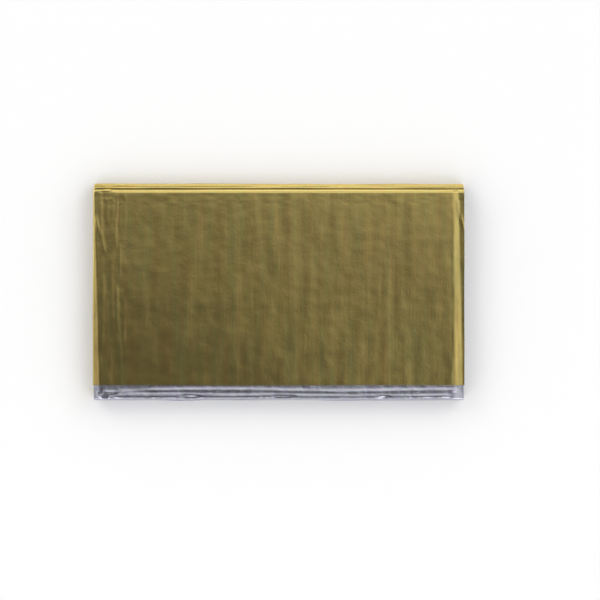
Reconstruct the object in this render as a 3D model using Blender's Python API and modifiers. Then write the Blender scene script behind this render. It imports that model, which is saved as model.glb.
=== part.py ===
"""Emergency foil blanket, folded flat as it leaves its packet.

The blanket is one cut sheet of metallised film, gold on one side and silver on the other. It is folded
across its width into a band, and the band is then laid back and forth on itself. Here each thickness of the
band is one layer of a single solid. The origin is on the surface that the blanket lies on, under its middle.
+X runs along its length, +Y towards the side where the folds show gold, and +Z is up.
"""

import math
from collections import namedtuple

import bmesh
import bpy

MM = 0.001

# Driving dimensions, in millimetres
LENGTH = 178.0  # along X
WIDTH = 104.0  # along Y, over the folds that reach furthest
HEIGHT = 12.5  # of the whole stack where it has settled least
THICKNESS = 1.05  # of one layer: a band of film folded nine times, pressed flat

# Each row is a place where the band turns back, from the bottom of the stack to the top. The first and last
# rows are the band's two free ends. Insets are measured from the furthest fold on that side, at the two ends
# of the fold, and shift is how far the band lies to the right there.
Fold = namedtuple("Fold", "side inset_left inset_right shift")
FOLDS = (
    Fold(side=+1, inset_left=3.2, inset_right=2.4, shift=+0.1),
    Fold(side=-1, inset_left=0.9, inset_right=1.3, shift=-0.3),
    Fold(side=+1, inset_left=0.0, inset_right=0.2, shift=+0.2),
    Fold(side=-1, inset_left=0.7, inset_right=0.4, shift=-0.1),
    Fold(side=+1, inset_left=0.3, inset_right=0.4, shift=+0.3),
    Fold(side=-1, inset_left=0.8, inset_right=1.0, shift=-0.2),
    Fold(side=+1, inset_left=1.6, inset_right=1.5, shift=+0.1),
    Fold(side=-1, inset_left=0.1, inset_right=0.0, shift=-0.1),
    Fold(side=+1, inset_left=2.7, inset_right=2.6, shift=-0.2),
    Fold(side=-1, inset_left=7.4, inset_right=7.3, shift=+0.2),
)

# Each fold wavers a little along its length
WAVER = 0.12
WAVER_LENGTH = 118.0

# How the stack has settled. The middle stands over both long sides, and long shallow hollows cross it, each
# a row: how deep it is, how long its wave is, the compass direction it runs in and where it starts
DOME = 0.6
Hollow = namedtuple("Hollow", "depth wavelength direction start")
HOLLOWS = (
    Hollow(depth=0.30, wavelength=170.0, direction=12.0, start=40.0),
    Hollow(depth=0.22, wavelength=120.0, direction=66.0, start=150.0),
)

# Both short ends slope down where they were pressed, each a row: how far from the end the slope starts and
# stops, at its far (+Y) and near (-Y) corners, and how steep it is
Bevel = namedtuple("Bevel", "side start_far start_near stop_far stop_near slope")
BEVELS = (
    Bevel(side=-1, start_far=0.8, start_near=3.5, stop_far=0.0, stop_near=0.0, slope=11.5),
    Bevel(side=+1, start_far=5.2, start_near=4.4, stop_far=2.1, stop_near=0.0, slope=7.0),
)

# The top layer slopes down towards its own gold fold. Its slope starts and stops at these distances from the
# gold fold that reaches furthest.
SHOULDER_START = 4.3
SHOULDER_STOP = 2.9
SHOULDER_SLOPE = 21.0

# How finely the film is divided
COLUMNS = 20  # along X
LAYER_STEPS = 4  # across each layer
TURN_STEPS = 6  # round each fold

GOLD = (0.72, 0.56, 0.20)
SILVER = (0.72, 0.73, 0.77)

layer_count = len(FOLDS) - 1
gap = (HEIGHT - layer_count * THICKNESS) / (layer_count - 1)
pitch = THICKNESS + gap
band_width = LENGTH - 2 * max(abs(fold.shift) for fold in FOLDS)


def between(low, high, share):
    """The value a share of the way from low to high."""
    return low + (high - low) * share


def fold_line(index, across):
    """Y of the middle of the film where it starts to turn at a fold, a share of the way left to right."""
    fold = FOLDS[index]
    inset = between(fold.inset_left, fold.inset_right, across)
    inset += WAVER * (0.5 - 0.5 * math.cos(math.tau * (across * LENGTH / WAVER_LENGTH) + index))
    if 0 < index < layer_count:
        inset += THICKNESS / 2 + pitch / 2
    return fold.side * (WIDTH / 2 - inset)


def layer_point(layer, share, across):
    """Y, Z and shift of a point on a layer, a share of the way from the fold under it to the fold over it."""
    y = between(fold_line(layer, across), fold_line(layer + 1, across), share)
    shift = between(FOLDS[layer].shift, FOLDS[layer + 1].shift, share)
    return y, THICKNESS / 2 + layer * pitch, shift


def turn_point(index, share, across):
    """Y, Z and shift of a point on the half circle between two layers, a share of the way up it."""
    angle = math.pi * (share - 0.5)
    y = fold_line(index, across) + FOLDS[index].side * pitch / 2 * math.cos(angle)
    z = THICKNESS / 2 + (index - 0.5) * pitch + pitch / 2 * math.sin(angle)
    return y, z, FOLDS[index].shift


def band_rows():
    """The places along the band that get a row of points, each a function, its layer or fold, and a share."""
    rows = []
    for layer in range(layer_count):
        if layer > 0:
            rows += [(turn_point, layer, step / TURN_STEPS) for step in range(1, TURN_STEPS)]
        rows += [(layer_point, layer, step / LAYER_STEPS) for step in range(LAYER_STEPS + 1)]
    return rows


def slope_drop(slope, start, stop, distance):
    """How far a slope has come down at a distance from an edge, when it runs from start to stop."""
    return math.tan(math.radians(slope)) * max(0.0, start - max(stop, distance))


def settled(x, y, z):
    """Z after the stack has settled, which moves the top layer most and the bottom one not at all."""
    drop = DOME * (2 * y / WIDTH) ** 2
    for hollow in HOLLOWS:
        direction = math.radians(hollow.direction)
        along = x * math.cos(direction) + y * math.sin(direction)
        phase = math.tau * along / hollow.wavelength + math.radians(hollow.start)
        drop += hollow.depth * (0.5 - 0.5 * math.cos(phase))
    for bevel in BEVELS:
        farness = y / WIDTH + 0.5
        start = between(bevel.start_near, bevel.start_far, farness)
        stop = between(bevel.stop_near, bevel.stop_far, farness)
        drop += slope_drop(bevel.slope, start, stop, LENGTH / 2 - bevel.side * x)
    drop += slope_drop(SHOULDER_SLOPE, SHOULDER_START, SHOULDER_STOP, WIDTH / 2 - y)
    height_share = max(0.0, z - THICKNESS) / (HEIGHT - THICKNESS)
    return z - drop * height_share


def film(name, color, roughness):
    """A thin metallised film: a metal to the eye, a little cloudy."""
    material = bpy.data.materials.new(name)
    material.use_nodes = True
    shader = material.node_tree.nodes["Principled BSDF"]
    shader.inputs["Base Color"].default_value = (*color, 1.0)
    shader.inputs["Metallic"].default_value = 1.0
    shader.inputs["Roughness"].default_value = roughness
    return material


def folded_band(name):
    """A flat grid of film whose points are carried to their places in the folds, gold side out at the top."""
    rows = band_rows()
    cut = bmesh.new()
    bmesh.ops.create_grid(cut, x_segments=COLUMNS, y_segments=len(rows) - 1, size=0.5)
    for point in cut.verts:
        # Points crowd towards the two ends, where the stack slopes down
        across = 0.5 + 0.5 * math.sin(-math.pi * point.co.x)
        place, index, share = rows[round((point.co.y + 0.5) * (len(rows) - 1))]
        y, z, shift = place(index, share, across)
        x = (across - 0.5) * band_width + shift
        point.co = (x * MM, y * MM, settled(x, y, z) * MM)
    mesh = bpy.data.meshes.new(name)
    cut.to_mesh(mesh)
    cut.free()
    return bpy.data.objects.new(name, mesh)


def thicken(sheet):
    """Gives the film its thickness, half to each side: gold on its outer side, silver on the other."""
    sheet.data.materials.append(film("gold_side", GOLD, 0.25))
    sheet.data.materials.append(film("silver_side", SILVER, 0.22))
    solidify = sheet.modifiers.new("Thickness", "SOLIDIFY")
    solidify.thickness = THICKNESS * MM
    solidify.offset = 0.0
    solidify.use_even_offset = True
    solidify.use_quality_normals = True
    solidify.material_offset = 1


for leftover in list(bpy.context.scene.objects):
    bpy.data.objects.remove(leftover, do_unlink=True)

blanket = bpy.data.collections.new("foil_blanket")
bpy.context.scene.collection.children.link(blanket)
foil_sheet = folded_band("foil_sheet")
blanket.objects.link(foil_sheet)
thicken(foil_sheet)
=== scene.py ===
"""Dresses the folded emergency foil blanket: one sheet of metallised film, folded up, on a pale floor."""

import math
from collections import namedtuple

import bmesh
import bpy
import numpy as np
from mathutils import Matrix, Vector


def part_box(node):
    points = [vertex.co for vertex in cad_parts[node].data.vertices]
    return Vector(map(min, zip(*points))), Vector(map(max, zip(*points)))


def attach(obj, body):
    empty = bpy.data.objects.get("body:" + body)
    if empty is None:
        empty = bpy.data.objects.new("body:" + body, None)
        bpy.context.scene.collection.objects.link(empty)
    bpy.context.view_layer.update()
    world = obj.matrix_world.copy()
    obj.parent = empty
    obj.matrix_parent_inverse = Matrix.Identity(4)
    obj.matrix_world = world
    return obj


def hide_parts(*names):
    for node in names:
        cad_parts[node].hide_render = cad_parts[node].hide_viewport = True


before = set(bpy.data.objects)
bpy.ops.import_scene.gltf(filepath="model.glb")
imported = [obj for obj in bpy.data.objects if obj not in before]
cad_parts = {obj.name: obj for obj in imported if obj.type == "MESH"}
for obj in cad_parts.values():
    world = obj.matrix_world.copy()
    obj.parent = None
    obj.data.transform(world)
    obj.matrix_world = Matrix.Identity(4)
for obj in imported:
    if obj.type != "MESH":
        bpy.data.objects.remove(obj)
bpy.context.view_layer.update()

# ----------------------------------------------------------------------------------------------------------
# The camera
# It looks straight down on the blanket's gold face from far enough off that the stack's sides hardly show.

PIXELS = 600  # the picture's width and its height
STACK_PIXELS = 371.8  # the stack's length as it is seen
STACK_MIDDLE = (278.6, 291.75)  # where its middle is seen, from the picture's top left
CAMERA_HEIGHT = 1.6  # in metres
NEAREST_SEEN = 0.05  # in metres
SENSOR = 36.0  # in millimetres

low, high = (Vector(corner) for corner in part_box("foil_sheet"))
frame_width = (high.x - low.x) * PIXELS / STACK_PIXELS
camera_data = bpy.data.cameras.new("camera")
camera_data.sensor_width = SENSOR
camera_data.lens = SENSOR * (CAMERA_HEIGHT - high.z) / frame_width
camera_data.clip_start = NEAREST_SEEN
camera = bpy.data.objects.new("camera", camera_data)
bpy.context.scene.collection.objects.link(camera)
pixel = frame_width / PIXELS
camera.location = (
    (low.x + high.x) / 2 + (PIXELS / 2 - STACK_MIDDLE[0]) * pixel,
    (low.y + high.y) / 2 - (PIXELS / 2 - STACK_MIDDLE[1]) * pixel,
    CAMERA_HEIGHT,
)
bpy.context.scene.camera = camera

# ----------------------------------------------------------------------------------------------------------
# The film
# One cut sheet of thin polyester film, with aluminium laid on it in a vacuum and gold lacquer over one side.
# A machine folds it into nine plies across its width, then lays that band back and forth in 21 layers.

MM = 0.001
# All sizes of the film are in millimetres
FLAT_WIDTH, FLAT_LENGTH = 1600.0, 2100.0  # as it was cut
PLIES, LAYERS = 9, 21
FILM = 0.025  # real film is half that, too thin to model
PLY_PITCH = 0.045  # from ply to ply of the band
STAND_OFF = 0.03  # how far the outer ply on each face of the band stands off those inside it
CREASE_LENGTH = 0.12  # how much of the sheet's width each crease between two plies takes up
TURN_LENGTH = 0.95  # and how much of its length each fold of the band

length, width, height = (high - low) / MM
ply_length = FLAT_WIDTH / PLIES
layer_length = FLAT_LENGTH / LAYERS
band_half = (PLIES - 1) / 2 * PLY_PITCH + STAND_OFF
layer_pitch = (height - 2 * band_half - FILM) / (LAYERS - 1)

# The main folds at the long sides, in which several folds of the film bulge together: how high the middle of
# each is, and how far it falls short of the furthest at its left and right ends
Ridge = namedtuple("Ridge", "middle inset_left inset_right")
GOLD_RIDGES = (
    Ridge(middle=2.7, inset_left=0.0, inset_right=0.2),
    Ridge(middle=5.8, inset_left=0.3, inset_right=0.4),
    Ridge(middle=8.4, inset_left=1.6, inset_right=1.5),
    Ridge(middle=11.3, inset_left=3.2, inset_right=3.1),
)
SILVER_RIDGES = (
    Ridge(middle=1.2, inset_left=0.9, inset_right=1.3),
    Ridge(middle=4.1, inset_left=0.7, inset_right=0.4),
    Ridge(middle=6.9, inset_left=0.8, inset_right=1.0),
    Ridge(middle=9.9, inset_left=0.1, inset_right=0.0),
)
RIDGE_HALF = 1.6  # from a ridge's middle up or down to its edge
RIDGE_DEPTH = 0.9  # how far its folds lie back at that edge
FOLD_SLACK = 0.15  # how unevenly the folds of one ridge line up
WAVER = 0.12  # how far each fold wavers along its length, in waves of the length given next
WAVER_LENGTH = 118.0
TOP_FREE_INSET = 7.3  # how far the band's two free ends fall short, like the folds
BOTTOM_FREE_INSET = 2.9
CREEP = 0.4  # how far the plies' cut ends lie apart
CREASE_SLACK = 0.45  # how unevenly the plies' creases line up at the short ends
CREASE_WAVE = 17.0  # over how many millimetres that changes by a radian
CUT_EDGE_OUT = 0.2  # how far the sheet's two long cut edges reach past those creases
CUT_EDGE_SHARE = 0.4  # of the slack of the creases, that of the cut edges
LAYER_SLACK = 0.45  # how unevenly the layers' ends line up there
LEAST_SLIP = 0.3  # the share of that by which each of them has slipped at least

# The outer film of each fold stands off the film inside it, by an uneven amount between these two
PUFF_LEAST, PUFF_MOST = 0.18, 0.40
PUFF_WAVE = 11.0  # over how many millimetres that changes by a radian
# It stands off further at these places: on which fold, where along it, how far to each side, and by how much
Puff = namedtuple("Puff", "fold x reach height")
PUFFS = (
    Puff(fold=20, x=-82.6, reach=3.6, height=0.25),
    Puff(fold=20, x=-80.8, reach=1.6, height=0.18),
    Puff(fold=19, x=-83.0, reach=6.0, height=0.35),
    Puff(fold=19, x=-46.0, reach=12.0, height=0.30),
    Puff(fold=17, x=-48.0, reach=14.0, height=0.35),
    Puff(fold=16, x=-82.0, reach=5.0, height=0.35),
    Puff(fold=15, x=30.0, reach=22.0, height=0.45),
    Puff(fold=14, x=38.0, reach=18.0, height=0.40),
    Puff(fold=9, x=-20.0, reach=25.0, height=0.45),
    Puff(fold=8, x=62.0, reach=16.0, height=0.40),
    Puff(fold=6, x=-35.0, reach=20.0, height=0.35),
    Puff(fold=5, x=58.0, reach=18.0, height=0.45),
)

# How the stack has settled. Long shallow hollows: how deep each is, how long its wave is, which way it runs,
# in degrees from +X towards +Y, and where it starts, in degrees too
Hollow = namedtuple("Hollow", "depth wavelength direction start")
HOLLOWS = (
    Hollow(depth=0.30, wavelength=170.0, direction=12.0, start=40.0),
    Hollow(depth=0.22, wavelength=120.0, direction=66.0, start=150.0),
)
DOME = 0.6  # how far both long sides lie under the middle
# The two short ends were pressed down, and the right one curls up again at its edge: how far from that edge
# each slope starts and ends, at its far (+Y) and near (-Y) corners, and how steeply it goes down to it
Bevel = namedtuple("Bevel", "side start_far start_near end_far end_near slope")
BEVELS = (
    Bevel(side=-1, start_far=0.8, start_near=3.6, end_far=0.0, end_near=0.0, slope=12.0),
    Bevel(side=+1, start_far=5.4, start_near=4.4, end_far=2.9, end_near=0.6, slope=7.0),
    Bevel(side=+1, start_far=2.6, start_near=0.6, end_far=0.0, end_near=0.0, slope=-3.0),
)
# The top layer slopes down to its gold fold
SHOULDER_START = 4.3  # from the furthest gold fold
SHOULDER_END = 2.9
SHOULDER_SLOPE = 21.0
# Near the left end it has less of that slope: from and to which X it eases in, and the least share of it
SHOULDER_EASE = (-82.0, -75.5, 0.35)
SOFTNESS = 0.25  # of the line where a slope starts
# How high the film that shows from above stands off the plies under it: on the top layer, and on the silver
# strip beside it, which bulges more where it nears its fold
PANEL_STAND = 0.14
STRIP_STAND = 0.14
STRIP_BULGE = 0.24
STRIP_BULGE_RUN = 5.2  # over what distance it comes to that
STRIP_ENDS = 1.0  # at each end of the strip, where it doesn't bulge
STRIP_START = 0.9  # how far under the top layer's free end the strip starts to stand off
STRIP_FADE = 0.8  # and over what distance it comes to the full height
# How free the film is to crinkle, counting that of the top layer as 1: on the strip, and round the folds
STRIP_FREEDOM = 1.8
FOLD_FREEDOM = 0.6
RESTING = 0.6  # below this height it is less and less free

# Single creases that stand up from the top layer and from the strip of silver beside it: where each runs
# from and to, seen from above, how high it is and how wide its slopes are
Crease = namedtuple("Crease", "x y to_x to_y height reach")
CREASES = (
    # A slanting one at the left end, then short ones in the far left corner
    Crease(x=-87.3, y=34.6, to_x=-86.4, to_y=30.4, height=0.19, reach=0.7),
    Crease(x=-86.4, y=30.4, to_x=-84.7, to_y=26.2, height=0.12, reach=0.8),
    Crease(x=-84.7, y=26.2, to_x=-83.2, to_y=19.1, height=0.07, reach=0.9),
    Crease(x=-87.6, y=48.2, to_x=-85.0, to_y=48.5, height=0.06, reach=0.8),
    Crease(x=-83.9, y=48.4, to_x=-80.2, to_y=49.4, height=0.07, reach=0.8),
    Crease(x=-84.2, y=45.0, to_x=-80.2, to_y=44.4, height=0.02, reach=1.2),
    # Folds in the film that run with the streaks
    Crease(x=-85.2, y=47.0, to_x=-84.8, to_y=25.5, height=0.06, reach=1.4),
    Crease(x=-82.3, y=44.0, to_x=-82.0, to_y=33.0, height=0.06, reach=1.4),
    Crease(x=-79.2, y=43.0, to_x=-79.6, to_y=34.0, height=0.04, reach=1.2),
    Crease(x=-77.2, y=46.0, to_x=-77.7, to_y=35.0, height=0.05, reach=1.2),
    Crease(x=-78.1, y=36.0, to_x=-77.9, to_y=22.0, height=0.05, reach=1.2),
    Crease(x=-75.6, y=44.0, to_x=-75.9, to_y=30.0, height=0.04, reach=1.2),
    Crease(x=-75.9, y=23.0, to_x=-76.1, to_y=8.0, height=0.05, reach=1.1),
    Crease(x=-80.4, y=16.0, to_x=-79.6, to_y=-12.0, height=0.04, reach=1.4),
    Crease(x=-77.6, y=2.0, to_x=-77.3, to_y=-18.0, height=0.04, reach=1.3),
    Crease(x=-84.2, y=6.0, to_x=-84.6, to_y=-26.0, height=0.04, reach=1.5),
    Crease(x=-73.9, y=-4.0, to_x=-74.3, to_y=-24.0, height=0.04, reach=1.4),
    # At the right end
    Crease(x=87.2, y=35.8, to_x=88.5, to_y=31.2, height=0.22, reach=0.8),
    Crease(x=85.9, y=43.0, to_x=86.3, to_y=36.0, height=0.06, reach=1.0),
    # Along the silver strip, and the crumple at its left end
    Crease(x=-83.4, y=-47.9, to_x=-79.6, to_y=-48.3, height=0.22, reach=1.0),
    Crease(x=-79.6, y=-48.3, to_x=-62.0, to_y=-47.3, height=0.14, reach=1.3),
    Crease(x=-62.0, y=-47.3, to_x=-22.0, to_y=-47.0, height=0.22, reach=1.5),
    Crease(x=-22.0, y=-47.0, to_x=30.0, to_y=-48.0, height=0.20, reach=1.5),
    Crease(x=30.0, y=-48.0, to_x=84.0, to_y=-47.2, height=0.24, reach=1.6),
    Crease(x=-86.9, y=-48.4, to_x=-86.3, to_y=-49.9, height=0.22, reach=0.9),
    Crease(x=-86.3, y=-49.9, to_x=-84.9, to_y=-50.2, height=0.20, reach=0.9),
    Crease(x=-84.9, y=-50.2, to_x=-83.2, to_y=-48.9, height=0.20, reach=0.9),
    Crease(x=-81.0, y=-50.5, to_x=-76.8, to_y=-50.2, height=0.24, reach=1.0),
    Crease(x=-75.8, y=-50.3, to_x=-48.0, to_y=-50.2, height=0.40, reach=3.2),
    Crease(x=-53.0, y=-49.0, to_x=-29.0, to_y=-49.6, height=0.24, reach=1.3),
    Crease(x=-37.0, y=-50.4, to_x=-3.0, to_y=-50.0, height=0.31, reach=2.1),
    Crease(x=-9.0, y=-49.2, to_x=16.0, to_y=-49.6, height=0.22, reach=1.2),
    Crease(x=8.0, y=-50.3, to_x=47.0, to_y=-50.4, height=0.35, reach=2.3),
    Crease(x=39.0, y=-49.3, to_x=61.0, to_y=-49.8, height=0.24, reach=1.3),
    Crease(x=54.0, y=-50.4, to_x=81.0, to_y=-50.0, height=0.31, reach=1.9),
)


def between(start, end, share):
    """The value a share of the way from one to another."""
    return start + (end - start) * share


def smooth(value):
    """Eases a value from 0 to 1, and holds it there outside them."""
    held = np.clip(value, 0.0, 1.0)
    return held * held * (3 - 2 * held)


# Unevenness is the sum of two waves: how much each counts, how fast it runs, and how much further on it
# starts for the next kind
Wave = namedtuple("Wave", "share speed step")
WAVES = (Wave(share=0.3, speed=1.0, step=2.4), Wave(share=0.2, speed=2.3, step=5.1))


def uneven(at, kind):
    """A slow unevenness between 0 and 1, of its own for each kind."""
    return 0.5 + sum(wave.share * np.sin(wave.speed * at + wave.step * kind) for wave in WAVES)


def laid(distance, run_length, turn_length, runs):
    """For spots along a strip laid back and forth: the run each is on and its share of the way along it,
    whether it is in a turn instead, which one, and its share of the way round. Turn n follows run n - 1."""
    run = np.clip(np.floor(distance / run_length), 0, runs - 1).astype(int)
    near = distance - run * run_length
    start = np.where(run > 0, turn_length / 2, 0.0)
    end = np.where(run < runs - 1, turn_length / 2, 0.0)
    share = np.clip((near - start) / (run_length - start - end), 0.0, 1.0)
    leaving = near > run_length - end
    turning = leaving | (near < start)
    turn = run + leaving
    around = np.where(leaving, near - run_length, near) / turn_length + 0.5
    return run, share, turning, turn, around


def fold_ends(index):
    """How far a fold of the band falls short of the furthest on its side, at its left and right ends."""
    if index == 0:
        return BOTTOM_FREE_INSET, BOTTOM_FREE_INSET
    if index == LAYERS:
        return TOP_FREE_INSET, TOP_FREE_INSET
    ridges = SILVER_RIDGES if index % 2 else GOLD_RIDGES
    middle = band_half + (index - 0.5) * layer_pitch
    ridge = min(ridges, key=lambda one: abs(one.middle - middle))
    off = min(1.0, abs(middle - ridge.middle) / RIDGE_HALF)
    back = RIDGE_DEPTH * (1 - math.sqrt(1 - off**2)) + FOLD_SLACK * uneven(index, kind=1)
    back += layer_pitch / 2 + band_half
    return ridge.inset_left + back, ridge.inset_right + back


fold_insets = np.array([fold_ends(index) for index in range(LAYERS + 1)])


def fold_line(index, across, ply):
    """Y of the middle of the band where it starts to turn or ends, at shares across from the left."""
    inset = between(fold_insets[index, 0], fold_insets[index, 1], across)
    inset = inset + WAVER * (0.5 - 0.5 * np.cos(math.tau * across * length / WAVER_LENGTH + index))
    inset = inset - np.where(index % LAYERS == 0, CREEP * uneven(ply, kind=2), 0.0)
    return np.where(index % 2, -1, 1) * (width / 2 - inset)


def slip(distance, wave, start):
    """How far a layer's end has slipped in, which no two layers do alike and the top one not at all."""
    layers = np.arange(LAYERS + 1)
    slips = LAYER_SLACK * (np.sin(wave * layers + start) ** 2 + LEAST_SLIP) * (layers < LAYERS - 1)
    return np.interp(distance, (layers + 0.5) * layer_length, slips)


def crease_line(index, distance):
    """X of the start of a crease between two plies, or of a cut edge, at distances along the sheet."""
    slack = CREASE_SLACK * (uneven(distance / CREASE_WAVE, index) - 0.5)
    slack = np.where(index % PLIES == 0, CUT_EDGE_SHARE * slack - CUT_EDGE_OUT, slack)
    at_left = index % 2
    left_slip = slip(distance, wave=7.3, start=0.0)
    right_slip = slip(distance, wave=4.1, start=1.0)
    slack = slack + np.where(at_left, left_slip, right_slip)
    return np.where(at_left, -1, 1) * ((ply_length - CREASE_LENGTH) / 2 - slack)


def settled(x, y, z):
    """Z once the stack has settled: full on the top layer and none on the bottom one."""
    drop = DOME * (2 * y / width) ** 2
    for hollow in HOLLOWS:
        direction = math.radians(hollow.direction)
        along = x * math.cos(direction) + y * math.sin(direction)
        phase = math.tau * along / hollow.wavelength + math.radians(hollow.start)
        drop = drop + hollow.depth * (0.5 - 0.5 * np.cos(phase))
    for bevel in BEVELS:
        nearness = y / width + 0.5
        start = between(bevel.start_near, bevel.start_far, nearness)
        end = between(bevel.end_near, bevel.end_far, nearness)
        from_edge = length / 2 - bevel.side * x
        drop = drop + math.tan(math.radians(bevel.slope)) * np.minimum(eased(start - from_edge), start - end)
    past = np.minimum(eased(y - width / 2 + SHOULDER_START), SHOULDER_START - SHOULDER_END)
    ease_start, ease_end, least = SHOULDER_EASE
    steep = between(least, 1.0, smooth((x - ease_start) / (ease_end - ease_start)))
    drop = drop + math.tan(math.radians(SHOULDER_SLOPE)) * past * steep
    return z - drop * np.maximum(0.0, z - 2 * band_half) / (height - 2 * band_half)


def eased(past):
    """How far past a line a spot is, and none before it, with a soft start."""
    soft = np.clip(past + SOFTNESS, 0.0, 2 * SOFTNESS) ** 2 / (4 * SOFTNESS)
    return np.where(past > SOFTNESS, past, soft)


def puffed(fold, x):
    """How far the outer film of a fold stands off the film inside it."""
    most = between(PUFF_LEAST, PUFF_MOST, uneven(x / PUFF_WAVE, fold))
    for puff in PUFFS:
        most = most + (fold == puff.fold) * puff.height * smooth(1 - np.abs(x - puff.x) / puff.reach)
    return most


def raised(x, y):
    """How far the single creases stand up at spots seen from above."""
    most = np.zeros_like(x)
    for crease in CREASES:
        run_x, run_y = crease.to_x - crease.x, crease.to_y - crease.y
        share = np.clip(((x - crease.x) * run_x + (y - crease.y) * run_y) / (run_x**2 + run_y**2), 0.0, 1.0)
        off = np.hypot(x - crease.x - share * run_x, y - crease.y - share * run_y)
        most = np.maximum(most, crease.height * smooth(1 - off / crease.reach))
    return most


def folded(s, d):
    """Where spots of the cut sheet lie once it is folded, s across it and d along it, and how free each is
    to lift off the film inside it: above 0 where gold faces out, below 0 where silver does, 0 where held."""
    ply, ply_share, creasing, crease, bend = laid(s, ply_length, CREASE_LENGTH, PLIES)
    layer, layer_share, turning, fold, turn = laid(d, layer_length, TURN_LENGTH, LAYERS)

    rises = ((PLIES - 1) / 2 - np.arange(PLIES)) * PLY_PITCH
    rises[0] += STAND_OFF
    rises[-1] -= STAND_OFF
    before = np.maximum(crease - 1, 0)
    after = np.minimum(crease, PLIES - 1)
    radius = (rises[before] - rises[after]) / 2
    out = np.where(crease % 2, -1, 1)
    x = np.where(
        creasing,
        crease_line(crease, d) + out * radius * np.sin(math.pi * bend),
        between(crease_line(ply, d), crease_line(ply + 1, d), ply_share),
    )
    bent_rise = (rises[before] + rises[after]) / 2 + radius * np.cos(math.pi * bend)
    rise = np.where(creasing, bent_rise, rises[ply])

    across = x / length + 0.5
    side = np.where(fold % 2, -1, 1)
    # How far each spot is on the band's gold or silver face, each of which fades out round one crease
    gold_out = np.where(creasing, (crease == 1) * (1 - bend), ply == 0)
    silver_out = np.where(creasing, (crease == PLIES - 1) * bend, ply == PLIES - 1)
    out_here = np.where(fold % 2, silver_out, gold_out)
    reach = layer_pitch / 2 + side * rise + out_here * puffed(fold, x) * np.sin(math.pi * turn)
    y = np.where(
        turning,
        fold_line(fold, across, ply) + side * reach * np.sin(math.pi * turn),
        between(fold_line(layer, across, ply), fold_line(layer + 1, across, ply), layer_share),
    )
    z = band_half + FILM / 2 + np.where(
        turning,
        (fold - 0.5) * layer_pitch - reach * np.cos(math.pi * turn),
        layer * layer_pitch + np.where(layer % 2, -rise, rise),
    )

    # Only the outermost film shows: the top layer's upper ply, the strip beside it, and one ply of each fold
    upper = smooth(2 * turn - 1)
    strip = (layer == LAYERS - 2) * smooth((TOP_FREE_INSET + STRIP_START - width / 2 - y) / STRIP_FADE)
    gold_top = gold_out * np.where(turning, (fold == LAYERS - 1) * upper, layer == LAYERS - 1)
    silver_top = silver_out * np.where(turning, (fold == LAYERS - 2) * upper, strip)
    round_fold = turning * FOLD_FREEDOM * np.sin(math.pi * turn)
    gold = np.maximum(gold_top, gold_out * round_fold * (fold % 2 == 0))
    silver = np.maximum(silver_top * STRIP_FREEDOM, silver_out * round_fold * (fold % 2 == 1))
    free = (gold - silver) * smooth(z / RESTING)
    z = settled(x, y, np.maximum(z, FILM / 2))
    from_ends = length / 2 - STRIP_ENDS - np.abs(x)
    bulge = smooth((TOP_FREE_INSET - width / 2 - y) / STRIP_BULGE_RUN) * smooth(from_ends / STRIP_BULGE_RUN)
    strip_stand = STRIP_STAND + STRIP_BULGE * bulge
    z = z + gold_top * (raised(x, y) + PANEL_STAND) + silver_top * (raised(x, y) + strip_stand)
    return np.stack((x, y, z), axis=-1), free


# The sheet lies flat first, with lines of points at these distances from both ends of each ply and layer
PLY_STEPS = (0.0, 0.4, 3.4, 13.0, 44.0, 88.8)
LAYER_STEPS = (0.0, 0.3, 7.7, 34.0)
LINE_GAP = 0.5  # lines that would be closer than this to the last one are left out
CREASE_STEPS = 3  # into how many parts the lines divide a crease or a turn
TURN_STEPS = 3


def run_lines(run_length, turn_length, runs, steps, turn_steps):
    """Where the lines of points lie along a strip that will be laid back and forth."""
    lines = []
    for run in range(runs):
        if run > 0:
            turns = [step / turn_steps - 0.5 for step in range(1, turn_steps)]
            lines += [run * run_length + share * turn_length for share in turns]
        start = run * run_length + (turn_length / 2 if run > 0 else 0.0)
        end = (run + 1) * run_length - (turn_length / 2 if run < runs - 1 else 0.0)
        lines += [start + step for step in steps]
        lines += [end - step for step in reversed(steps) if end - step > lines[-1] + LINE_GAP]
    return lines


def flat_sheet():
    """The cut sheet, flat, in millimetres."""
    across = run_lines(ply_length, CREASE_LENGTH, PLIES, PLY_STEPS, CREASE_STEPS)
    along = run_lines(layer_length, TURN_LENGTH, LAYERS, LAYER_STEPS, TURN_STEPS)
    cut = bmesh.new()
    bmesh.ops.create_grid(cut, x_segments=len(across) - 1, y_segments=len(along) - 1, size=0.5)
    for point in cut.verts:
        column = round((point.co.x + 0.5) * (len(across) - 1))
        row = round((point.co.y + 0.5) * (len(along) - 1))
        point.co = (across[column], along[row], 0.0)
    return cut


def refine(cut, s_range, d_range, across=None, along=None):
    """Divides the part of the flat sheet inside two ranges into faces of a size across or along it."""
    for axis, step in ((0, across), (1, along)):
        if step is None:
            continue
        groups = {}
        for edge in cut.edges:
            start, end = edge.verts[0].co, edge.verts[1].co
            middle = (start + end) / 2
            if s_range[0] <= middle.x <= s_range[1] and d_range[0] <= middle.y <= d_range[1]:
                pieces = round(abs(start[axis] - end[axis]) / step)
                if pieces > 1:
                    groups.setdefault(pieces, []).append(edge)
        for pieces, edges in groups.items():
            bmesh.ops.subdivide_edges(cut, edges=edges, cuts=pieces - 1)


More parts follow.
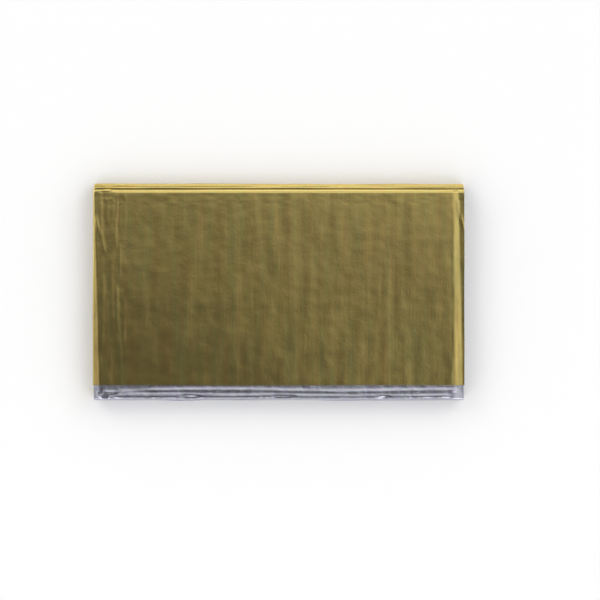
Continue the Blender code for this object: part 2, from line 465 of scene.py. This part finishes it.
# The parts of the sheet that will show get more points: the ranges they take up across and along the sheet
cut = flat_sheet()
MARGIN = 0.01  # takes in the lines at the ends of a range
half_turn = TURN_LENGTH / 2 + MARGIN
half_crease = CREASE_LENGTH / 2 + MARGIN
top_start = (LAYERS - 1) * layer_length
strip_start = top_start - layer_length
gold_ply = (-MARGIN, ply_length + half_crease)
silver_ply = (FLAT_WIDTH - ply_length - half_crease, FLAT_WIDTH + MARGIN)
top_rows = (top_start - half_turn, FLAT_LENGTH + MARGIN)
shoulder_rows = (top_start + half_turn, top_start + half_turn + LAYER_STEPS[2])
panel_rows = (top_start + half_turn, FLAT_LENGTH)
strip_rows = (strip_start - half_turn, strip_start + half_turn + LAYER_STEPS[2])
flat_strip_rows = (strip_start + half_turn, strip_rows[1])
# Most of the creases that show are at the two ends, and most of those at the left one
LEFT_CREASED, RIGHT_CREASED = 16.0, 6.5
gold_left = (ply_length - LEFT_CREASED, ply_length)
gold_right = (0.0, RIGHT_CREASED)
silver_left = (FLAT_WIDTH - LEFT_CREASED, silver_ply[1])

# About how long a face is there
GOLD_FACE = 1.6
SILVER_FACE = 1.4
CREASED_FACE = 0.5
SHOULDER_FACE = 0.45
FOLD_FACE = 2.8
TURN_PARTS = 6  # into how many parts each turn is divided where it shows
refine(cut, gold_ply, top_rows, across=GOLD_FACE)
refine(cut, silver_ply, strip_rows, across=SILVER_FACE)
refine(cut, gold_left, top_rows, across=CREASED_FACE)
refine(cut, gold_right, top_rows, across=CREASED_FACE)
refine(cut, silver_left, strip_rows, across=CREASED_FACE)
refine(cut, gold_ply, shoulder_rows, along=SHOULDER_FACE)
refine(cut, gold_ply, panel_rows, along=GOLD_FACE)
refine(cut, silver_ply, flat_strip_rows, along=CREASED_FACE)
HIGH_FOLD = 14  # from this fold up, the film can be seen from above to a little past its turn
for fold in range(1, LAYERS):
    middle = fold * layer_length
    shown = silver_ply if fold % 2 else gold_ply
    past = half_turn + (LAYER_STEPS[1] if fold >= HIGH_FOLD else 0.0)
    refine(cut, shown, (middle - past, middle + past), across=FOLD_FACE)
    refine(cut, shown, (middle - half_turn, middle + half_turn), along=TURN_LENGTH / TURN_PARTS)

flat_places = np.array([point.co.to_tuple()[:2] for point in cut.verts])
places, free = folded(flat_places[:, 0], flat_places[:, 1])
flat_map = cut.loops.layers.uv.new("flat_sheet")
for face in cut.faces:
    for corner in face.loops:
        corner[flat_map].uv = corner.vert.co.xy * MM
free_layer = cut.verts.layers.float.new("free")
for point, place, lift in zip(cut.verts, places, free):
    point.co = Vector(place) * MM
    point[free_layer] = lift
mesh = bpy.data.meshes.new("rescue_film")
cut.to_mesh(mesh)
cut.free()
mesh.shade_smooth()
rescue_film = bpy.data.objects.new("rescue_film", mesh)
bpy.context.scene.collection.objects.link(rescue_film)


def linear(code):
    """A colour's linear values from its sRGB hex code."""
    parts = [int(code[at:at + 2], 16) / 255 for at in (1, 3, 5)]
    return [part / 12.92 if part <= 0.04045 else ((part + 0.055) / 1.055) ** 2.4 for part in parts] + [1.0]


def add(tree, kind, settings=None, inputs=None):
    """Adds a node with its settings, and links or sets its inputs, each given by its name or its place."""
    node = tree.nodes.new(kind)
    for name, value in (settings or {}).items():
        setattr(node, name, value)
    for name, value in (inputs or {}).items():
        if isinstance(value, bpy.types.NodeSocket):
            tree.links.new(value, node.inputs[name])
        else:
            node.inputs[name].default_value = value
    return node


# The sizes of the finish on the flat sheet, in millimetres: how wide and how long its streaks of tint and
# its fine ridges are, how wide its clouds and crinkles, and how deep its ridges and crinkles. Real film has
# finer ones too, but they wouldn't show at half a millimetre to a pixel.
TINT_STREAK = (3.419, 55.556)
FINE_RIDGE = (1.1765, 22.222)
CLOUD = 11.111
CRINKLE = 2.381
FINE_RIDGE_DEPTH = 0.3
CRINKLE_DEPTH = 0.8
NOISE_LOW, NOISE_HIGH = 0.3, 0.7  # nearly all noise is between these


def pattern_scale(across, along):
    """The scale of a pattern on the flat sheet, by the size of its cells in millimetres."""
    return 1 / (across * MM), 1 / (along * MM), 1.0


def film_finish(name, tints, roughness, streak_bump, crinkle_bump):
    """Metallised film: a mirror a little clouded by handling, with fine streaks along the band."""
    material = bpy.data.materials.new(name)
    material.use_nodes = True
    tree = material.node_tree
    shader = tree.nodes["Principled BSDF"]
    shader.inputs["Metallic"].default_value = 1.0
    shader.inputs["Specular Tint"].default_value = linear(tints[1])
    shader.inputs["Coat Weight"].default_value = 0.3
    shader.inputs["Coat Roughness"].default_value = 0.08

    sheet = add(tree, "ShaderNodeUVMap", {"uv_map": "flat_sheet"})
    wide = add(tree, "ShaderNodeMapping", None, {
        "Vector": sheet.outputs[0], "Scale": pattern_scale(*TINT_STREAK),
    })
    narrow = add(tree, "ShaderNodeMapping", None, {
        "Vector": sheet.outputs[0], "Scale": pattern_scale(*FINE_RIDGE),
    })
    tint = add(tree, "ShaderNodeTexNoise", None, {
        "Vector": wide.outputs[0], "Scale": 1.0, "Detail": 3.0,
    })
    fine = add(tree, "ShaderNodeTexNoise", None, {
        "Vector": narrow.outputs[0], "Scale": 1.0, "Detail": 2.0,
    })
    ramp = add(tree, "ShaderNodeValToRGB", None, {"Fac": tint.outputs["Fac"]})
    ramp.color_ramp.elements[0].position = NOISE_LOW
    ramp.color_ramp.elements[0].color = linear(tints[0])
    ramp.color_ramp.elements[1].position = NOISE_HIGH
    ramp.color_ramp.elements[1].color = linear(tints[2])
    ramp.color_ramp.elements.new((NOISE_LOW + NOISE_HIGH) / 2).color = linear(tints[1])
    tree.links.new(ramp.outputs["Color"], shader.inputs["Base Color"])

    clouds = add(tree, "ShaderNodeTexNoise", None, {
        "Vector": sheet.outputs[0], "Scale": 1 / (CLOUD * MM), "Detail": 3.0,
    })
    clouding = add(tree, "ShaderNodeMapRange", None, {
        "Value": clouds.outputs["Fac"], "From Min": NOISE_LOW, "From Max": NOISE_HIGH,
        "To Min": roughness[0], "To Max": roughness[1],
    })
    tree.links.new(clouding.outputs[0], shader.inputs["Roughness"])

    crinkles = add(tree, "ShaderNodeTexNoise", None, {
        "Vector": sheet.outputs[0], "Scale": 1 / (CRINKLE * MM), "Detail": 2.0, "Distortion": 0.8,
    })
    streaks = add(tree, "ShaderNodeBump", None, {
        "Height": fine.outputs["Fac"], "Strength": streak_bump, "Distance": FINE_RIDGE_DEPTH * MM,
    })
    bump = add(tree, "ShaderNodeBump", None, {
        "Height": crinkles.outputs["Fac"], "Strength": crinkle_bump, "Distance": CRINKLE_DEPTH * MM,
        "Normal": streaks.outputs[0],
    })
    tree.links.new(bump.outputs[0], shader.inputs["Normal"])
    return material


# Gold lacquer over aluminium: a yellow mirror, browner or greener where the lacquer is thicker
gold_tints = ("#E4D584", "#EAD27F", "#ECCC7C")
gold_film = film_finish(
    "gold_lacquered_film", gold_tints, roughness=(0.11, 0.18), streak_bump=0.045, crinkle_bump=0.03,
)
# Bare aluminium under clear film: a cool grey mirror with a breath of lavender
silver_tints = ("#C7CBD2", "#C8C8D5", "#C3C0D3")
silver_film = film_finish(
    "bare_metallised_film", silver_tints, roughness=(0.15, 0.24), streak_bump=0.05, crinkle_bump=0.14,
)
mesh.materials.append(gold_film)
mesh.materials.append(silver_film)


def crinkling():
    """A tree that lifts the free film into streaks along the band and into small crinkles."""
    tree = bpy.data.node_groups.new("crinkled_film", "GeometryNodeTree")
    tree.is_modifier = True
    tree.interface.new_socket("Film", in_out="INPUT", socket_type="NodeSocketGeometry")
    for name in ("Streak height", "Streak width", "Streak length", "Crinkle height", "Crinkle size", "Seed"):
        tree.interface.new_socket(name, in_out="INPUT", socket_type="NodeSocketFloat")
    tree.interface.new_socket("Film", in_out="OUTPUT", socket_type="NodeSocketGeometry")
    given = tree.nodes.new("NodeGroupInput").outputs
    sheet = add(tree, "GeometryNodeInputNamedAttribute", {"data_type": "FLOAT_VECTOR"}, {
        "Name": "flat_sheet",
    })
    free = add(tree, "GeometryNodeInputNamedAttribute", {"data_type": "FLOAT"}, {"Name": "free"})
    spot = add(tree, "ShaderNodeSeparateXYZ", None, {0: sheet.outputs[0]})

    def lumps(size_across, size_along, height, seed_share):
        """Noise of a size across and along the flat sheet, as high as given and centred on 0."""
        across = add(tree, "ShaderNodeMath", {"operation": "DIVIDE"}, {0: spot.outputs[0], 1: size_across})
        along = add(tree, "ShaderNodeMath", {"operation": "DIVIDE"}, {0: spot.outputs[1], 1: size_along})
        seed = add(tree, "ShaderNodeMath", {"operation": "MULTIPLY"}, {0: given["Seed"], 1: seed_share})
        where = add(tree, "ShaderNodeCombineXYZ", None, {
            0: across.outputs[0], 1: along.outputs[0], 2: seed.outputs[0],
        })
        noise = add(tree, "ShaderNodeTexNoise", None, {
            "Vector": where.outputs[0], "Scale": 1.0, "Detail": 1.5,
        })
        level = add(tree, "ShaderNodeMath", {"operation": "SUBTRACT"}, {0: noise.outputs["Fac"], 1: 0.5})
        return add(tree, "ShaderNodeMath", {"operation": "MULTIPLY"}, {0: level.outputs[0], 1: height})

    streaks = lumps(given["Streak width"], given["Streak length"], given["Streak height"], seed_share=1.0)
    crinkles = lumps(given["Crinkle size"], given["Crinkle size"], given["Crinkle height"], seed_share=1.7)
    both = add(tree, "ShaderNodeMath", {"operation": "ADD"}, {
        0: streaks.outputs[0], 1: crinkles.outputs[0],
    })
    lift = add(tree, "ShaderNodeMath", {"operation": "MULTIPLY"}, {0: both.outputs[0], 1: free.outputs[0]})
    normal = add(tree, "GeometryNodeInputNormal")
    offset = add(tree, "ShaderNodeVectorMath", {"operation": "SCALE"}, {
        0: normal.outputs[0], "Scale": lift.outputs[0],
    })
    moved = add(tree, "GeometryNodeSetPosition", None, {
        "Geometry": given["Film"], "Offset": offset.outputs[0],
    })
    real = add(tree, "GeometryNodeRealizeInstances", None, {"Geometry": moved.outputs[0]})
    dressed = add(tree, "GeometryNodeSetMaterial", None, {
        "Geometry": real.outputs[0], "Material": gold_film,
    })
    add(tree, "NodeGroupOutput", None, {"Film": dressed.outputs[0]})
    return tree


crinkled = rescue_film.modifiers.new("crinkles", "NODES")
crinkled.node_group = crinkling()
CRINKLE_SIZES = {
    "Streak height": 0.22, "Streak width": 4.5, "Streak length": 38.0,
    "Crinkle height": 0.13, "Crinkle size": 4.0,
}
SEED = 3.0
for item in crinkled.node_group.interface.items_tree:
    if item.name in CRINKLE_SIZES:
        crinkled[item.identifier] = CRINKLE_SIZES[item.name] * MM
    if item.name == "Seed":
        crinkled[item.identifier] = SEED
solidify = rescue_film.modifiers.new("thickness", "SOLIDIFY")
solidify.thickness = FILM * MM
solidify.offset = 0.0
solidify.material_offset = 1
evaluated = rescue_film.evaluated_get(bpy.context.evaluated_depsgraph_get())
finished = bpy.data.meshes.new_from_object(evaluated)
rescue_film.modifiers.clear()
rescue_film.data = finished
SHARP_ANGLE = 75.0  # more than from facet to facet of a fold, so only the film's cut rims are hard
finished.set_sharp_from_angle(angle=math.radians(SHARP_ANGLE))

# A second map lays the sheet out again for pictures of its finish: gold over silver, with most of the room
# for the ply of each that shows from above. Each pair of rows gives places on the cut sheet, in metres, and
# where they go on the map: across the sheet, then along it.
GOLD_ROOM = (((0.0, 0.178, 1.6), (0.0, 0.8, 1.0)), ((0.0, 2.0, 2.1), (0.25, 0.59, 1.0)))
SILVER_ROOM = (((0.0, 1.422, 1.6), (0.0, 0.15, 1.0)), ((0.0, 1.89, 1.91, 2.1), (0.0, 0.06, 0.19, 0.25)))

corners = np.empty((len(finished.loops), 2), dtype=np.float32)
finished.uv_layers["flat_sheet"].data.foreach_get("uv", corners.ravel())
sides = [face.material_index for face in finished.polygons for corner in face.loop_indices]
for axis in (0, 1):
    gold_spots = np.interp(corners[:, axis], *GOLD_ROOM[axis])
    silver_spots = np.interp(corners[:, axis], *SILVER_ROOM[axis])
    corners[:, axis] = np.where(sides, silver_spots, gold_spots)
room = finished.uv_layers.new(name="OFBake", do_init=False)
room.data.foreach_set("uv", corners.ravel())

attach(rescue_film, "root")
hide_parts("foil_sheet")

# ----------------------------------------------------------------------------------------------------------
# The floor and the light
# A matt white floor under a ring of soft lamps, with a dim patch of ceiling over the blanket, where the
# camera hangs.

FLOOR_REACH = 3.0  # in metres, to each side
floor_mesh = bpy.data.meshes.new("floor")
shape = bmesh.new()
bmesh.ops.create_grid(shape, x_segments=1, y_segments=1, size=FLOOR_REACH)
shape.to_mesh(floor_mesh)
shape.free()
floor = bpy.data.objects.new("floor", floor_mesh)
bpy.context.scene.collection.objects.link(floor)
# Matt white paper: no shine, only a soft shade round the stack
paper = bpy.data.materials.new("matt_white_paper")
paper.use_nodes = True
paper.node_tree.nodes["Principled BSDF"].inputs["Base Color"].default_value = linear("#FEFEFE")
paper.node_tree.nodes["Principled BSDF"].inputs["Roughness"].default_value = 0.9
floor_mesh.materials.append(paper)

# How bright the light is, by the angle in degrees from the middle of the dim patch and by that from straight
# overhead. The two are multiplied. By the second angle it also swings from lamp to lamp round the ring.
PATCH = ((0, 0.07), (8, 0.09), (11, 0.125), (14.5, 0.21), (18, 0.34), (24, 0.50), (32, 0.76), (42, 1.0))
PATCH_TILT = (-9.0, -9.0)  # degrees from overhead, towards +X and +Y
RING = (
    (0, 1.04), (32, 1.04), (38, 0.76), (44, 0.48), (48, 0.52), (53, 0.85), (57, 1.1),
    (62, 1.2), (67, 1.0), (72, 0.82), (78, 0.64), (84, 0.5), (90, 0.4),
)
SWING = ((0, 0.0), (50, 0.0), (58, 0.35), (66, 0.6), (80, 0.7), (90, 0.5))
LAMPS = 13  # round the ring

world = bpy.data.worlds.new("studio")
bpy.context.scene.world = world
world.use_nodes = True
tree = world.node_tree
way = add(tree, "ShaderNodeTexCoord").outputs["Generated"]


def by_angle(tree, way, axis, stops):
    """A level by the angle from an axis."""
    along = add(tree, "ShaderNodeVectorMath", {"operation": "DOT_PRODUCT"}, {0: way, 1: axis})
    angle = add(tree, "ShaderNodeMath", {"operation": "ARCCOSINE"}, {0: along.outputs["Value"]})
    share = add(tree, "ShaderNodeMath", {"operation": "DIVIDE"}, {
        0: angle.outputs[0], 1: math.radians(stops[-1][0]),
    })
    ramp = add(tree, "ShaderNodeValToRGB", None, {"Fac": share.outputs[0]})
    ramp.color_ramp.elements.remove(ramp.color_ramp.elements[1])
    ramp.color_ramp.elements[0].color = (stops[0][1],) * 3 + (1,)
    for degrees, level in stops[1:]:
        ramp.color_ramp.elements.new(degrees / stops[-1][0]).color = (level, level, level, 1)
    return ramp.outputs["Color"]


patch_axis = Vector((*(math.tan(math.radians(degrees)) for degrees in PATCH_TILT), 1.0)).normalized()
patch = by_angle(tree, way, patch_axis, PATCH)
ring = by_angle(tree, way, Vector((0, 0, 1)), RING)
swing = by_angle(tree, way, Vector((0, 0, 1)), SWING)
parts = add(tree, "ShaderNodeSeparateXYZ", None, {0: way})
bearing = add(tree, "ShaderNodeMath", {"operation": "ARCTAN2"}, {
    0: parts.outputs["Y"], 1: parts.outputs["X"],
})
around = add(tree, "ShaderNodeMath", {"operation": "MULTIPLY"}, {0: bearing.outputs[0], 1: LAMPS})
wave = add(tree, "ShaderNodeMath", {"operation": "SINE"}, {0: around.outputs[0]})
lamps = add(tree, "ShaderNodeMath", {"operation": "MULTIPLY_ADD"}, {0: wave.outputs[0], 1: swing, 2: 1.0})
even_light = add(tree, "ShaderNodeVectorMath", {"operation": "MULTIPLY"}, {0: patch, 1: ring})
light = add(tree, "ShaderNodeVectorMath", {"operation": "SCALE"}, {
    0: even_light.outputs[0], "Scale": lamps.outputs[0],
})
tree.links.new(light.outputs[0], tree.nodes["Background"].inputs["Color"])

# Softboxes: the bearing and the height in degrees of each, and its radiance
Softbox = namedtuple("Softbox", "bearing height radiance")
SOFTBOXES = (
    Softbox(bearing=38.0, height=42.0, radiance=1.3),
    Softbox(bearing=142.0, height=42.0, radiance=1.3),
    Softbox(bearing=232.0, height=50.0, radiance=1.3),
    Softbox(bearing=308.0, height=50.0, radiance=1.3),
)
SOFTBOX_SIDE = 0.95  # in metres
SOFTBOX_DISTANCE = 1.8
for softbox in SOFTBOXES:
    lamp_data = bpy.data.lights.new("softbox", "AREA")
    lamp_data.size = SOFTBOX_SIDE
    lamp_data.energy = math.pi * softbox.radiance * SOFTBOX_SIDE**2
    lamp = bpy.data.objects.new("softbox", lamp_data)
    bpy.context.scene.collection.objects.link(lamp)
    bearing, rise = math.radians(softbox.bearing), math.radians(softbox.height)
    flat = math.cos(rise)
    away = Vector((math.cos(bearing) * flat, math.sin(bearing) * flat, math.sin(rise)))
    lamp.location = away * SOFTBOX_DISTANCE
    lamp.rotation_euler = away.to_track_quat("Z", "Y").to_euler()

bpy.context.scene.view_settings.view_transform = "Standard"
